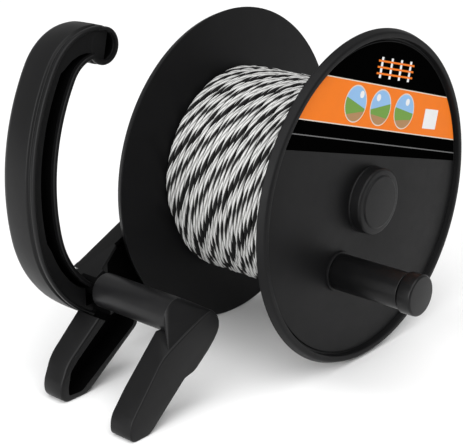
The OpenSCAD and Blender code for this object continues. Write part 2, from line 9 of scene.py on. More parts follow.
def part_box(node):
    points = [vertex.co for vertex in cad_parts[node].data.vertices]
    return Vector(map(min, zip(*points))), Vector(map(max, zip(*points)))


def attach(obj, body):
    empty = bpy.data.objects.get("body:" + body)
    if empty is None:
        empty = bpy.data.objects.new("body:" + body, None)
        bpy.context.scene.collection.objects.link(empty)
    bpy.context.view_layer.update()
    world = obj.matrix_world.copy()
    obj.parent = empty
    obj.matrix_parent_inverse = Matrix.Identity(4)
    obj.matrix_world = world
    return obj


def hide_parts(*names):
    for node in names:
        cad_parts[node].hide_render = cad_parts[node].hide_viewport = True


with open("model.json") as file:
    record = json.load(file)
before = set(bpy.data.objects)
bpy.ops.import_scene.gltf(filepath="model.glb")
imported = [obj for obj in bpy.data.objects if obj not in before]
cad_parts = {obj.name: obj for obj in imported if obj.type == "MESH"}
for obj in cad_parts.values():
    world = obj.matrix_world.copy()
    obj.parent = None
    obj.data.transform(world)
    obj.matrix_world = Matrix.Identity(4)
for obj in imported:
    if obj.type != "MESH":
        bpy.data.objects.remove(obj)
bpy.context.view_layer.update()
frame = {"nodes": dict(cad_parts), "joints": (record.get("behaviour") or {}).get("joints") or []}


# Viewpoint. The reel stands on a pale floor and is seen from the front left, a little from above,
# through a long lens. The light is soft: a pale sky, a wide light overhead, a broad box on the left.
camera_data = bpy.data.cameras.new("viewpoint")
camera_data.sensor_fit = "HORIZONTAL"
camera_data.sensor_width = 36.0
camera_data.lens = 99.14  # fitted to the rims of the two flanges, with the place and the turn below
camera_data.clip_start = 0.02
camera = bpy.data.objects.new("viewpoint", camera_data)
bpy.context.scene.collection.objects.link(camera)
view_right = Vector((0.6591, -0.7521, 0.0))
view_up = Vector((0.2535, 0.2221, 0.9415))
view_back = view_right.cross(view_up)
camera.matrix_world = Matrix.Translation((-0.54868, -0.44033, 0.33795)) @ Matrix(
    (view_right, view_up, view_back)).transposed().to_4x4()
bpy.context.scene.camera = camera
bpy.context.scene.view_settings.view_transform = "Standard"

sky = bpy.data.worlds.new("pale_sky")
sky.use_nodes = True
sky_light = sky.node_tree.nodes["Background"]
sky_light.inputs["Color"].default_value = (1.0, 1.0, 1.0, 1.0)
sky_light.inputs["Strength"].default_value = 0.45
bpy.context.scene.world = sky


def hang(lamp, place, target):
    """Hangs a lamp at a place, turned to a target."""
    holder = bpy.data.objects.new(lamp.name, lamp)
    holder.location = place
    holder.rotation_mode = "QUATERNION"
    holder.rotation_quaternion = (Vector(target) - Vector(place)).to_track_quat("-Z", "Y")
    bpy.context.scene.collection.objects.link(holder)


overhead = bpy.data.lights.new("overhead_light", "SUN")
overhead.energy = 2.5
overhead.angle = math.radians(70.0)
hang(overhead, (-0.5, -0.6, 1.6), (0.0, 0.0, 0.1))
left_box = bpy.data.lights.new("left_box", "AREA")
left_box.shape = "SQUARE"
left_box.size = 0.9
left_box.energy = 13.0
hang(left_box, (-1.3, -0.1, 0.45), (-0.05, 0.02, 0.08))

floor_bm = bmesh.new()
bmesh.ops.create_grid(floor_bm, x_segments=1, y_segments=1, size=6.0)
floor_mesh = bpy.data.meshes.new("floor")
floor_bm.to_mesh(floor_mesh)
floor_bm.free()
floor_paint = bpy.data.materials.new("floor_paint")
floor_paint.use_nodes = True
floor_shader = floor_paint.node_tree.nodes["Principled BSDF"]
floor_shader.inputs["Base Color"].default_value = (0.92, 0.92, 0.92, 1.0)
floor_shader.inputs["Roughness"].default_value = 0.9
floor_shader.inputs["Specular IOR Level"].default_value = 0.1
floor_mesh.materials.append(floor_paint)
floor = bpy.data.objects.new("floor", floor_mesh)
bpy.context.scene.collection.objects.link(floor)


# Carrying frame. One moulding of satin black plastic: a C-shaped handle with an open channel and a
# beaded rim, the arm that passes behind the drum to the axle, and a hollow rear leg. The axle nut
# and the cross bar's screw sit in pockets at its back.
class Tone:
    """A value in a material's nodes; sums and products of it add Math nodes."""

    def __init__(self, tree, socket):
        self.tree = tree
        self.socket = socket

    def node(self, kind, settings, links):
        """Adds a node with these settings and inputs, and gives back its first output."""
        made = self.tree.nodes.new(kind)
        for name, value in settings.items():
            if name == "stops":
                for stop, (where, tint) in zip(made.color_ramp.elements, value):
                    stop.position = where
                    stop.color = (*tint, 1.0)
            else:
                setattr(made, name, value)
        for name, value in links.items():
            if isinstance(value, Tone):
                self.tree.links.new(value.socket, made.inputs[name])
            else:
                made.inputs[name].default_value = value
        return Tone(self.tree, made.outputs[0])

    def feed(self, shader, name):
        """Leads this value to an input of the shader."""
        self.tree.links.new(self.socket, shader.inputs[name])

    def __add__(self, other):
        return self.node("ShaderNodeMath", {"operation": "ADD"}, {0: self, 1: other})

    def __mul__(self, other):
        return self.node("ShaderNodeMath", {"operation": "MULTIPLY"}, {0: self, 1: other})

    __radd__ = __add__


def new_finish(name):
    """An empty material with its shader and the piece's own coordinates, in metres."""
    material = bpy.data.materials.new(name)
    material.use_nodes = True
    tree = material.node_tree
    shader = tree.nodes["Principled BSDF"]
    where = Tone(tree, tree.nodes.new("ShaderNodeTexCoord").outputs["Object"])
    return material, shader, where


def noise(where, per_metre, detail=2.0):
    """Cloudy noise, with its number of features to the metre."""
    return where.node("ShaderNodeTexNoise", {}, {"Vector": where, "Scale": per_metre, "Detail": detail})


def ramp(where, value, low, dark, high, light):
    """A colour that runs from dark to light as a value runs from low to high."""
    return where.node("ShaderNodeValToRGB", {"stops": ((low, dark), (high, light))}, {"Fac": value})


def grey(level):
    """A black that leans a little towards blue, as carbon-filled plastic does."""
    return (level, level, level * 1.06)


def moulded(name, level, rough, shine, grain=0.06):
    """Moulded plastic: cloudy colour, a fine sparked grain and faint rubbed patches."""
    material, shader, where = new_finish(name)
    cloud = noise(where, 38.0, 4.0)
    fine = noise(where, 2600.0)
    rub = noise(where, 160.0, 6.0)
    tint = ramp(where, cloud * 0.7 + fine * 0.3, 0.25, grey(level * 0.75), 0.8, grey(level * 1.3))
    tint.feed(shader, "Base Color")
    (rough - 0.09 + rub * 0.14 + fine * 0.04).feed(shader, "Roughness")
    bump = where.node("ShaderNodeBump", {}, {"Strength": grain, "Distance": 0.0004, "Height": fine})
    bump.feed(shader, "Normal")
    shader.inputs["Specular IOR Level"].default_value = shine
    return material


# The pieces are drawn in millimetres from the axle, at the floor of the crank flange's recess.
spin_joint = next(j for j in frame["joints"] if j["name"] == "drum_spin")
recess_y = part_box("label")[1].y
middle_x, _, middle_z = spin_joint["pos_m"]
to_frame = Matrix.Translation((middle_x, recess_y, middle_z)) @ Matrix.Scale(0.001, 4)


def settle(bm, name, body, finishes, stands_for=(), sharp=35.0):
    """Turns a drawn piece into an object in the reel's frame, riding on its body."""
    bmesh.ops.transform(bm, matrix=to_frame, verts=bm.verts)
    mesh = bpy.data.meshes.new(name)
    bm.to_mesh(mesh)
    bm.free()
    for finish in finishes:
        mesh.materials.append(finish)
    mesh.shade_smooth()
    mesh.set_sharp_from_angle(angle=math.radians(sharp))
    piece = bpy.data.objects.new(name, mesh)
    bpy.context.scene.collection.objects.link(piece)
    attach(piece, body)
    if stands_for:
        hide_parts(*stands_for)


def picked(geom, kind):
    """What is of one kind among the geometry that an operator gives back."""
    return [g for g in geom if isinstance(g, kind)]


def round_off(bm, verts, segments=6):
    """Rounds flat corners, each (vertex, length that the rounding takes from its edges)."""
    for reach in sorted({r for _, r in verts if r > 0}):
        bmesh.ops.bevel(bm, geom=[v for v, r in verts if r == reach], offset=reach, affect="VERTICES",
                        segments=segments, profile=0.5, material=-1, clamp_overlap=True)


def slab(corners, front, back):
    """A plate between two depths, with an outline of (x, z, rounding) corners."""
    bm = bmesh.new()
    verts = [bm.verts.new((x, front, z)) for x, z, _ in corners]
    bm.faces.new(verts)
    round_off(bm, [(v, c[2]) for v, c in zip(verts, corners)])
    bmesh.ops.remove_doubles(bm, verts=bm.verts, dist=0.02)
    grown = bmesh.ops.extrude_face_region(bm, geom=bm.faces[:])
    bmesh.ops.translate(bm, vec=(0, back - front, 0), verts=picked(grown["geom"], bmesh.types.BMVert))
    bmesh.ops.recalc_face_normals(bm, faces=bm.faces)
    return bm


def turned(profile, centre=(0.0, 0.0), steps=96, closed=False):
    """A shape turned round a line along the axle, from (radius, depth, rounding) points."""
    bm = bmesh.new()
    verts = [bm.verts.new((centre[0] + r, y, centre[1])) for r, y, _ in profile]
    pairs = list(zip(verts, verts[1:])) + ([(verts[-1], verts[0])] if closed else [])
    for a, b in pairs:
        bm.edges.new((a, b))
    round_off(bm, [(v, p[2]) for v, p in zip(verts, profile)])
    bmesh.ops.spin(bm, geom=bm.verts[:] + bm.edges[:], cent=(centre[0], 0, centre[1]), axis=(0, -1, 0),
                   angle=math.tau, steps=steps, use_merge=True)
    bmesh.ops.remove_doubles(bm, verts=bm.verts, dist=0.001)
    bmesh.ops.recalc_face_normals(bm, faces=bm.faces)
    return bm


def plug(reach, start, end, centre=(0.0, 0.0), steps=96, start_round=0, end_round=0):
    """A round plug between two depths, with a rounding at each end's edge."""
    profile = ((0, start, 0), (reach, start, start_round), (reach, end, end_round), (0, end, 0))
    return turned(profile, centre, steps)


def soften(bm, reach, above=30.0, segments=3, keep=None, clamp=True):
    """Rounds every edge that is sharper than an angle."""
    edges = [e for e in bm.edges if len(e.link_faces) == 2 and e.calc_face_angle(0) > math.radians(above)
             and (keep is None or keep(e))]
    bmesh.ops.bevel(bm, geom=edges, offset=reach, affect="EDGES", segments=segments, profile=0.5,
                    material=-1, clamp_overlap=clamp)


def trim(bm, point, normal):
    """Cuts away what lies beyond a plane and closes the cut."""
    cut = bmesh.ops.bisect_plane(bm, geom=bm.verts[:] + bm.edges[:] + bm.faces[:], plane_co=point,
                                 plane_no=normal, clear_outer=True)
    bmesh.ops.contextual_create(bm, geom=picked(cut["geom_cut"], bmesh.types.BMEdge))
    bmesh.ops.recalc_face_normals(bm, faces=bm.faces)


def as_object(bm):
    """A passing object for a boolean step."""
    mesh = bpy.data.meshes.new("shape")
    bm.to_mesh(mesh)
    bm.free()
    made = bpy.data.objects.new("shape", mesh)
    bpy.context.scene.collection.objects.link(made)
    return made


def joined(base, how, *others, finish=None):
    """One solid from several by UNION, DIFFERENCE or INTERSECT; a cut may get a finish of its own, such as
    the painted shade that darkens hollows.
    """
    shape = as_object(base)
    for other in others:
        if finish is not None:
            for face in other.faces:
                face.material_index = finish
        tool = as_object(other)
        step = shape.modifiers.new("step", "BOOLEAN")
        step.operation = how
        step.solver = "EXACT"
        step.object = tool
        bpy.context.view_layer.update()
        stepped = shape.evaluated_get(bpy.context.evaluated_depsgraph_get())
        result = bpy.data.meshes.new_from_object(stepped)
        shape.modifiers.clear()
        shape.data = result
        bpy.data.objects.remove(tool)
    bm = bmesh.new()
    bm.from_mesh(shape.data)
    bpy.data.objects.remove(shape)
    bmesh.ops.dissolve_degenerate(bm, edges=bm.edges, dist=0.002)
    return bm


def polar(centre, reach, degrees):
    """The point at a distance and a turn from a centre."""
    turn = math.radians(degrees)
    return centre + reach * Vector((math.cos(turn), math.sin(turn)))


frame_black = moulded("frame_black", 0.0042, 0.4, 0.18)
# The darker, duller copy of the frame's plastic below paints the shade inside hollows, slots and pockets onto
# their cut faces.
cavity_painted_shade = moulded("cavity_painted_shade", 0.0012, 0.7, 0.03)
painted_shade_slot = 1  # the place of cavity_painted_shade in a piece's list of finishes
origin = Vector((0, 0))
bar = Vector((-125.0, -43.6))
grip_centre, grip_reach = Vector((-27.5, 17.3)), 133.0
top_reach, top_turn, low_reach, low_turn = 28.0, 150.0, 65.0, 191.0
top_centre = polar(grip_centre, grip_reach - top_reach, top_turn)
low_centre = polar(grip_centre, grip_reach - low_reach, low_turn)
handle_front, band_floor, handle_back = 99.0, 101.5, 126.5
boss_front, arm_back = 110.5, 123.0
cut_front, cut_back = 97.0, 130.0  # clear of the moulding, for what is cut into it
low_end = 360.0 + math.degrees(math.atan2(bar.y - low_centre.y, bar.x - low_centre.x))

# Handle section, as (distance outward from its middle line, depth, rounding): the bead, the shallow
# band, the inner wall, the round back, and the groove behind the bead. A deep slot is cut in the band;
# its outer side closes in towards both ends, as (turn, distance outward).
handle_section = (
    (8.5, handle_front, 1.2), (6.2, handle_front, 0.9), (6.2, band_floor, 0.4), (-6.2, band_floor, 0.0),
    (-6.2, handle_front, 0.7), (-8.8, handle_front, 0.9), (-8.8, handle_back, 3.5), (7.8, handle_back, 5.0),
    (8.8, 117.0, 4.0), (8.7, 104.8, 0.5), (7.3, 103.9, 0.3), (7.3, 102.5, 0.3), (8.5, 101.6, 0.5),
)
slot_floor, slot_inside, slot_outside = 119.0, -6.0, 0.8
slot_section = ((slot_outside, cut_front, 0), (slot_outside, slot_floor, 1.0), (slot_inside, slot_floor, 1.0),
                (slot_inside, cut_front, 0))
widens = ((99, -5.7), (105, -4.7), (116, -3.4), (129, -2.0), (138, -1.3), (145, -0.4), (150, 0.8))
narrows = ((191, 0.8), (196, -0.7), (203, -1.2), (210, -1.6), (218, -2.0), (224, -2.7), (228, -3.5),
           (231, -4.5), (233, -5.7))


def swept(section, bends):
    """A closed section led round tangent bends, each (centre, reach, from, to) in degrees."""
    bm = bmesh.new()
    centre, reach, start, _ = bends[0]
    verts = [bm.verts.new((centre.x + reach + u, y, centre.y)) for u, y, _ in section]
    for a, b in zip(verts, verts[1:] + verts[:1]):
        bm.edges.new((a, b))
    round_off(bm, [(v, s[2]) for v, s in zip(verts, section)], 4)
    bmesh.ops.rotate(bm, cent=(centre.x, 0, centre.y), verts=bm.verts,
                     matrix=Matrix.Rotation(math.radians(start), 3, (0, -1, 0)))
    ring = bm.edges[:]
    first = ring
    for centre, reach, start, end in bends:
        steps = max(6, round(abs(end - start) * math.radians(reach) / 2.4))
        corners = list(dict.fromkeys(v for e in ring for v in e.verts))
        grown = bmesh.ops.spin(bm, geom=corners + ring, cent=(centre.x, 0, centre.y), axis=(0, -1, 0),
                               angle=math.radians(end - start), steps=steps)
        ring = picked(grown["geom_last"], bmesh.types.BMEdge)
    bmesh.ops.contextual_create(bm, geom=first)
    bmesh.ops.contextual_create(bm, geom=ring)
    bmesh.ops.recalc_face_normals(bm, faces=bm.faces)
    return bm


handle = swept(handle_section, (
    (top_centre, top_reach, 84.0, top_turn), (grip_centre, grip_reach, top_turn, low_turn),
    (low_centre, low_reach, low_turn, low_end + 4.5)))
slot = swept(slot_section, ((grip_centre, grip_reach, top_turn - 0.2, low_turn + 0.3),))


def slot_taper(centre, reach, outer_side):
    """The end of the slot: its outer side as given, its inner side along the inner wall."""
    first, last = outer_side[0][0], outer_side[-1][0]
    inner_side = [(last - 3.0 * step, slot_inside) for step in range((last - first) // 3 + 1)]
    return slab([(*polar(centre, reach + u, turn), 0) for turn, u in (*outer_side, *inner_side)],
                cut_front, slot_floor)


slot_start = slot_taper(top_centre, top_reach, widens)
slot_end = slot_taper(low_centre, low_reach, narrows)

# The round tip is open towards the channel, with a deeper pocket in its far half.
tip_turn = 77.0
tip = polar(top_centre, 25.5, tip_turn)
tip_heading = polar(origin, 1.0, tip_turn - 90.0)
tip_end = turned((
    (0, handle_front, 0), (10.6, handle_front, 1.2), (10.6, 101.6, 0.5), (9.5, 102.5, 0.3), (9.5, 103.9, 0.3),
    (10.8, 104.8, 0.5), (10.9, 117.0, 4.0), (9.8, handle_back, 4.5), (0, handle_back, 0)), tip)
tip_room = plug(8.0, cut_front, band_floor, tip, 64, end_round=0.4)
tip_pocket = plug(7.9, cut_front, 112.0, tip, 64, end_round=0.6)
pocket_edge = tip + tip_heading * 2.4
trim(tip_pocket, (pocket_edge.x, 0, pocket_edge.y), (-tip_heading.x, 0, -tip_heading.y))
mouth_floor = 101.45
mouth_section = ((6.1, cut_front, 0), (6.1, mouth_floor, 0), (-6.1, mouth_floor, 0), (-6.1, cut_front, 0))
tip_mouth = swept(mouth_section, ((top_centre, top_reach, tip_turn, tip_turn + 31.0),))
low_mouth = swept(mouth_section, ((low_centre, low_reach, low_turn + 12.0, low_end + 5.0),))

# The arm tapers from the bar to the hub boss, its front slants back to clear the drum, and it has an
# open hollow in front.
arm_root, arm_high, arm_low = 17.5, 4.2, 40.0
arm_turn = math.atan2(-bar.y, -bar.x)
arm_up = arm_turn + math.asin((arm_root - arm_high) / bar.length)
arm_down = arm_turn - math.asin((arm_root - arm_low) / bar.length)
upward = Vector((-math.sin(arm_up), 0, math.cos(arm_up)))
downward = Vector((math.sin(arm_down), 0, -math.cos(arm_down)))
bar_end = Vector((bar.x, 0, bar.y))
arm_end = Vector((0, 1, 0)).cross(downward * arm_low - upward * arm_high)


def wedge(top_view, inset, past_end):
    """A block from its top view (x, depth), between planes inset from the arm's upper and lower faces."""
    bm = bmesh.new()
    bm.faces.new([bm.verts.new((x, y, -110.0)) for x, y in top_view])
    raised = bmesh.ops.extrude_face_region(bm, geom=bm.faces[:])
    bmesh.ops.translate(bm, vec=(0, 0, 150.0), verts=picked(raised["geom"], bmesh.types.BMVert))
    trim(bm, upward * (arm_root - inset), upward)
    trim(bm, downward * (arm_root - inset), downward)
    trim(bm, bar_end + upward * arm_high + arm_end.normalized() * past_end, arm_end)
    return bm


arm = wedge((
    (-127.0, 99.8), (-96.5, boss_front), (6.0, boss_front), (6.0, arm_back), (-140.0, arm_back),
    (-140.0, 99.8)), 0.0, 4.0)
trim(arm, (0, 0, 0), Vector((1, 0, 0.35)))
soften(arm, 1.2)
arm_hollow = wedge((
    (-111.0, 95.0), (-20.0, 95.0), (-20.0, 117.5), (-97.0, 117.5), (-111.0, 112.5)), 2.2, -3.0)
hub_boss = plug(18.0, boss_front, arm_back, start_round=0.6, end_round=1.4)
bar_block = plug(10.5, 101.6, arm_back, bar, 64, end_round=1.4)
trim(bar_block, upward * (arm_root - 0.3), upward)


def near_bar(x, z, rounding):
    """An outline corner given from the cross bar's middle."""
    return (bar.x + x, bar.y + z, rounding)


def near_heel(heel, x, z, rounding):
    """An outline corner given from the back of a foot."""
    return (heel.x + x, heel.y + z, rounding)


rear_heel = Vector((-165.7, -100.0))
rear_leg = slab((
    near_bar(-8, -7.5, 0), near_heel(rear_heel, 6, 24.6, 4.5), near_heel(rear_heel, 0, 10, 3.5),
    near_heel(rear_heel, 1, 0, 5.5), near_heel(rear_heel, 20.5, 0, 3.5), near_bar(22, -26, 4),
    near_bar(15, 3, 4), near_bar(0, 2, 0)), 88.0, 103.5)
# The front of its left edge is drawn in towards the top.
for vert in rear_leg.verts:
    lean = 3.6 * min(1.0, max(0.0, (vert.co.z + 85.0) / 40.0))
    if vert.co.y < 90.0 and vert.co.x < bar.x + (vert.co.z - bar.y) * 0.72 + 4.0:
        vert.co += Vector((0.66, 0, -0.75)) * lean
soften(rear_leg, 1.3, 50.0)
rear_hollow = slab((
    near_bar(-3, -14.6, 1.4), near_heel(rear_heel, 14.6, 24.2, 2.5), near_heel(rear_heel, 8, 18, 2),
    near_heel(rear_heel, 5.8, 9, 1.8), near_heel(rear_heel, 5.8, 3.8, 1.4),
    near_heel(rear_heel, 15.8, 3.2, 2), near_bar(17.8, -25.2, 2.4), near_bar(13.8, -9.6, 2)), 84.0, 100.5)
bar_socket = turned((
    (0, 80.0, 0), (10.25, 80.0, 0), (10.25, handle_front, 0), (5.1, handle_front, 0), (5.1, 112.0, 0),
    (0, 112.0, 0)), bar, 64)
bar_gap = slab((
    near_bar(-7.3, 1.2, 0.5), near_bar(-7.3, -10.2, 0.5), near_bar(6, -10.2, 0.5), near_bar(6, 1.2, 0.8)),
    cut_front, 111.5)
screw_pocket = plug(6.5, 118.0, cut_back, bar, 48, start_round=0.4)
nut_pocket = plug(11.6, 115.5, cut_back, start_round=0.4)
drum_room = turned(((30.0, 80.0, 0), (103.5, 80.0, 0), (103.5, 111.0, 0), (30.0, 111.0, 0)),
                   steps=160, closed=True)
handle_room = plug(73.5, 84.0, 105.0, low_centre, 120)
trim(handle_room, (bar.x - 1.0, 0, 0), (1, 0, 0))
# The cut faces of the leg's hollow and of the room round the handle's end get the painted shade of a hollow.
rear_leg = joined(rear_leg, "DIFFERENCE", rear_hollow, handle_room, finish=painted_shade_slot)
# The faces of the arm's hollow get the painted shade of a deep recess.
arm = joined(arm, "DIFFERENCE", arm_hollow, finish=painted_shade_slot)
moulding = joined(handle, "UNION", tip_end, arm, hub_boss, bar_block)
moulding = joined(moulding, "DIFFERENCE", tip_room, tip_mouth, low_mouth, screw_pocket, nut_pocket)
# The faces cut by these cavities get the painted shade of hollows: the handle's slot and its ends, the tip's
# pocket, the gap by the bar's end and the arm's face behind the drum.
cavities = (slot, slot_start, slot_end, tip_pocket, bar_gap, drum_room)
moulding = joined(moulding, "DIFFERENCE", *cavities, finish=painted_shade_slot)
moulding = joined(joined(moulding, "UNION", rear_leg), "DIFFERENCE", bar_socket)
settle(moulding, "carrying_frame", "frame", [frame_black, cavity_painted_shade], ["handle_frame"])


# Cross bar. A round bar of the same plastic, plugged into the frame's block and held from behind by
# a screw with a washer; its front end carries the front leg.
bar_black = moulded("bar_black", 0.0065, 0.36, 0.26)
cross_bar = turned((
    (0, 36.4, 0), (10.15, 36.4, 0.4), (10.15, 93.2, 0.9), (5.0, 94.2, 0.4), (5.0, 111.4, 0), (0, 111.4, 0)),
    bar, 64)
# Faces of the bar's narrow neck behind neck_start get the painted shade, standing in for the shadowed gap at
# its back end.
neck_start = 93.8
for face in cross_bar.faces:
    face.material_index = painted_shade_slot if face.calc_center_median().y > neck_start else 0
settle(cross_bar, "cross_bar", "frame", [bar_black, cavity_painted_shade], ["crossbar"])


# Front leg. A closed moulding of the frame's plastic that caps the bar's end and runs down to a blunt
# foot. A ridge bounds its front face, with a step at its right, and the back of its shin is hollow.
facing = Matrix.Rotation(math.pi / 2, 4, "X")
front_heel = Vector((-171.2, -100.0))
leg_front, leg_back, cap_back = 27.0, 42.5, 36.5
ridge = ((-35, -32.3), (-23.5, -18.4), (-20.2, -15.5), (-16, -13.3), (-11.6, -11.2), (0.3, -6.0),
         (12.4, -1.3), (18.6, 0.3))
brow = ((21.4, -1.6), (23.4, -4.6), (24.6, -8.0), (24.5, -11.5), (23.2, -14.6), (20.6, -18.0), (15.5, -22.9))
ankle = ((6.4, -30.0), (2.3, -31.5), (-4.1, -32.7))
back_edge = ((-23.7, -22.1), (-15.8, -13.6), (-10.2, -7.2))
front_leg = slab((
    near_bar(*ridge[0], 0), near_heel(front_heel, 0.6, 11.6, 3.5), near_heel(front_heel, 0, 5, 1),
    near_heel(front_heel, 0.8, 0, 3.6), near_heel(front_heel, 15, 0, 3), near_bar(-6.2, -34.6, 0)),
    leg_front, leg_back)
leg_cap = bmesh.new()
for x, z, reach in ((0, 0, 10.2), (9.0, -7.5, 10.55)):
    bmesh.ops.create_circle(leg_cap, segments=64, radius=reach,
                            matrix=Matrix.Translation((bar.x + x, cap_back, bar.y + z)) @ facing)
cap_front = leg_front + 0.8
cap_ridge = [(x + 0.4, z - 0.8) for x, z in ridge[3:]]
cap_brow = [(x - 0.7, z + 0.2) for x, z in brow]
for bm, depth, points in ((front_leg, leg_front, ridge + brow + ankle),
                          (front_leg, leg_back, back_edge + ankle),
                          (leg_cap, cap_front, cap_ridge + cap_brow)):
    for x, z in points:
        bm.verts.new((bar.x + x, depth, bar.y + z))
for bm in (front_leg, leg_cap):
    bmesh.ops.delete(bm, geom=bm.edges[:], context="EDGES_FACES")
    bmesh.ops.convex_hull(bm, input=bm.verts[:])
    bmesh.ops.delete(bm, geom=[v for v in bm.verts if not v.link_faces], context="VERTS")
    bmesh.ops.dissolve_limit(bm, angle_limit=math.radians(0.5), verts=bm.verts, edges=bm.edges)
    bmesh.ops.recalc_face_normals(bm, faces=bm.faces)
soften(front_leg, 0.9, 28.0, clamp=False, keep=lambda e: all(v.co.y < leg_front + 3.0 for v in e.verts))
leg_step = slab((
    near_bar(*ankle[0], 0), near_bar(*ankle[1], 1.5), near_bar(*ankle[2], 1.5), near_bar(-30.4, -54.7, 0),
    near_bar(-22, -64, 0), near_bar(20, -40, 0)), 20.0, 50.0)
shin_hollow = slab((
    near_bar(-19.2, -25, 1.5), near_heel(front_heel, 3.4, 10.8, 2.5), near_heel(front_heel, 5, 3, 1.5),
    near_heel(front_heel, 13, 3, 2), near_bar(-10.5, -32, 1.5)), 30.0, 45.0)
front_leg = joined(joined(front_leg, "UNION", leg_cap), "DIFFERENCE", leg_step, shin_hollow)
settle(front_leg, "front_leg_moulding", "frame", [frame_black], ["front_leg"])


# Axle ends. A zinc-plated steel axle with a thread at its back, a washer and a hex nut in the
# frame's pocket; the cross bar's socket screw is of the same kind.
zinc, zinc_shader, zinc_where = new_finish("zinc_plate")
zinc_cloud = noise(zinc_where, 140.0, 4.0)
zinc_grain = noise(zinc_where, 5200.0)
ramp(zinc_where, zinc_cloud, 0.3, (0.42, 0.43, 0.44), 0.75, (0.6, 0.6, 0.59)).feed(zinc_shader, "Base Color")
(0.26 + zinc_cloud * 0.14 + zinc_grain * 0.06).feed(zinc_shader, "Roughness")
zinc_bump = zinc_where.node(
    "ShaderNodeBump", {}, {"Strength": 0.08, "Distance": 0.0002, "Height": zinc_grain})
zinc_bump.feed(zinc_shader, "Normal")
zinc_shader.inputs["Metallic"].default_value = 1.0


def hexagon(centre, reach, front, back):
    """A six-sided bar between two depths."""
    bm = bmesh.new()
    bmesh.ops.create_cone(bm, cap_ends=True, segments=6, radius1=reach, radius2=reach, depth=back - front,
                          matrix=Matrix.Translation((centre[0], (front + back) / 2, centre[1])) @ facing)
    return bm


def socket_head(centre, profile, reach, floor_depth, steps=40):
    """A turned head with a hexagon socket sunk in its outer face."""
    socket = hexagon(centre, reach, floor_depth, floor_depth + 8.0)
    return joined(turned(profile, centre, steps), "DIFFERENCE", socket)


crown = turned(((0, 116.9, 0), (12.0, 116.9, 0), (9.9, 121.2, 0), (8.4, 122.6, 0), (0, 122.6, 0)), origin, 72)
bore = turned(((0, 110.0, 0), (5.05, 110.0, 0), (5.05, 121.8, 0), (6.0, 123.0, 0), (0, 123.0, 0)), origin, 48)
nut_flats = 17.0
nut = joined(hexagon(origin, nut_flats / math.sqrt(3), 117.0, 122.5), "INTERSECT", crown)
nut = joined(nut, "DIFFERENCE", bore)
settle(nut, "hex_nut", "frame", [zinc], ["axle_nut"])
thread = [(0, 122.8, 0), (4.2, 122.8, 0)]
thread_pitch = 0.9
for turn in range(9):
    thread += [(4.95, 122.2 - turn * thread_pitch, 0), (4.5, 121.75 - turn * thread_pitch, 0)]
thread += [(4.95, 113.0, 0), (0, 113.0, 0)]
settle(turned(thread, origin, 48), "axle_thread", "frame", [zinc])
head_profile = ((0, 119.0, 0), (4.5, 119.0, 0.2), (4.5, 122.0, 0.6), (0, 122.0, 0))
screw_head = socket_head(bar, head_profile, 2.65, 120.2)
settle(screw_head, "bar_screw_head", "frame", [zinc], ["crossbar_screw"])


def dress(finish, *nodes):
    """Gives the plain solids that stay their material."""
    for node in nodes:
        frame["nodes"][node].data.materials.clear()
        frame["nodes"][node].data.materials.append(finish)


dress(zinc, "axle", "axle_clip", "axle_washer", "crossbar_washer", "crank_spindle", "crank_washer",
      "front_screw_1", "front_screw_2", "front_screw_3")


# Drum. Two black flanges with raised rims are screwed to a barrel; the crank flange has a round boss
# for the crank. The barrel and the nylon bushes inside it don't show.
drum_black = moulded("drum_black", 0.0052, 0.46, 0.12, grain=0.05)
nylon, nylon_shader, nylon_where = new_finish("natural_nylon")
nylon_cloud = noise(nylon_where, 120.0, 3.0)
nylon_tint = ramp(nylon_where, nylon_cloud, 0.3, (0.62, 0.6, 0.53), 0.8, (0.74, 0.72, 0.66))
nylon_tint.feed(nylon_shader, "Base Color")
(0.4 + nylon_cloud * 0.15).feed(nylon_shader, "Roughness")
dress(nylon, "front_bush", "rear_bush", "front_thrust_washer", "rear_thrust_washer")
dress(drum_black, "drum_barrel")

flange_profile = (
    (9.15, 2.0, 0), (9.15, 0.0, 0.2), (92.7, 0.0, 0.3), (93.0, 0.8, 0.3), (94.2, 0.8, 0.3), (94.5, -3.0, 0.8),
    (98.0, -3.0, 1.2), (100.0, 2.0, 0.9),
)
crank_middle = polar(origin, 46.0, -127.0)
crank_boss = plug(12.0, 1.0, -1.5, crank_middle, 72, end_round=0.35)
crank_disc = joined(turned(flange_profile, origin, 160, closed=True), "UNION", crank_boss)
settle(crank_disc, "crank_flange_disc", "drum", [drum_black], ["crank_flange"])
rear_face = 106.0
rear_disc = turned([(r, rear_face - y, f) for r, y, f in flange_profile], origin, 160, closed=True)
settle(rear_disc, "rear_flange_disc", "drum", [drum_black], ["rear_flange"])
dome_top, dome_socket = 107.8, 106.7
dome = ((0, rear_face, 0), (2.6, rear_face, 0), (2.6, 107.0, 0.5), (1.9, dome_top, 0.3), (0, dome_top, 0))
for index in range(3):
    spot = polar(origin, 14.8, 90.0 + 120.0 * index)
    settle(socket_head(spot, dome, 1.3, dome_socket, 24), f"rear_flange_screw_{index + 1}", "drum",
           [zinc], [f"rear_screw_{index + 1}"])


# Hub cap. A round black cap pressed over the axle's front end, with a soft edge and a shallow
# raised disc on its face.
cap_black = moulded("cap_black", 0.0055, 0.42, 0.15)
cap = turned((
    (0, -9.0, 0), (15.4, -9.0, 0.5), (16.0, -8.2, 0.3), (19.8, -8.0, 1.7), (19.8, -1.0, 0.3),
    (20.1, -0.7, 0.2), (20.1, 0.0, 0), (0, 0.0, 0)), origin, 96)
settle(cap, "hub_cap_turned", "drum", [cap_black], ["hub_cap"])


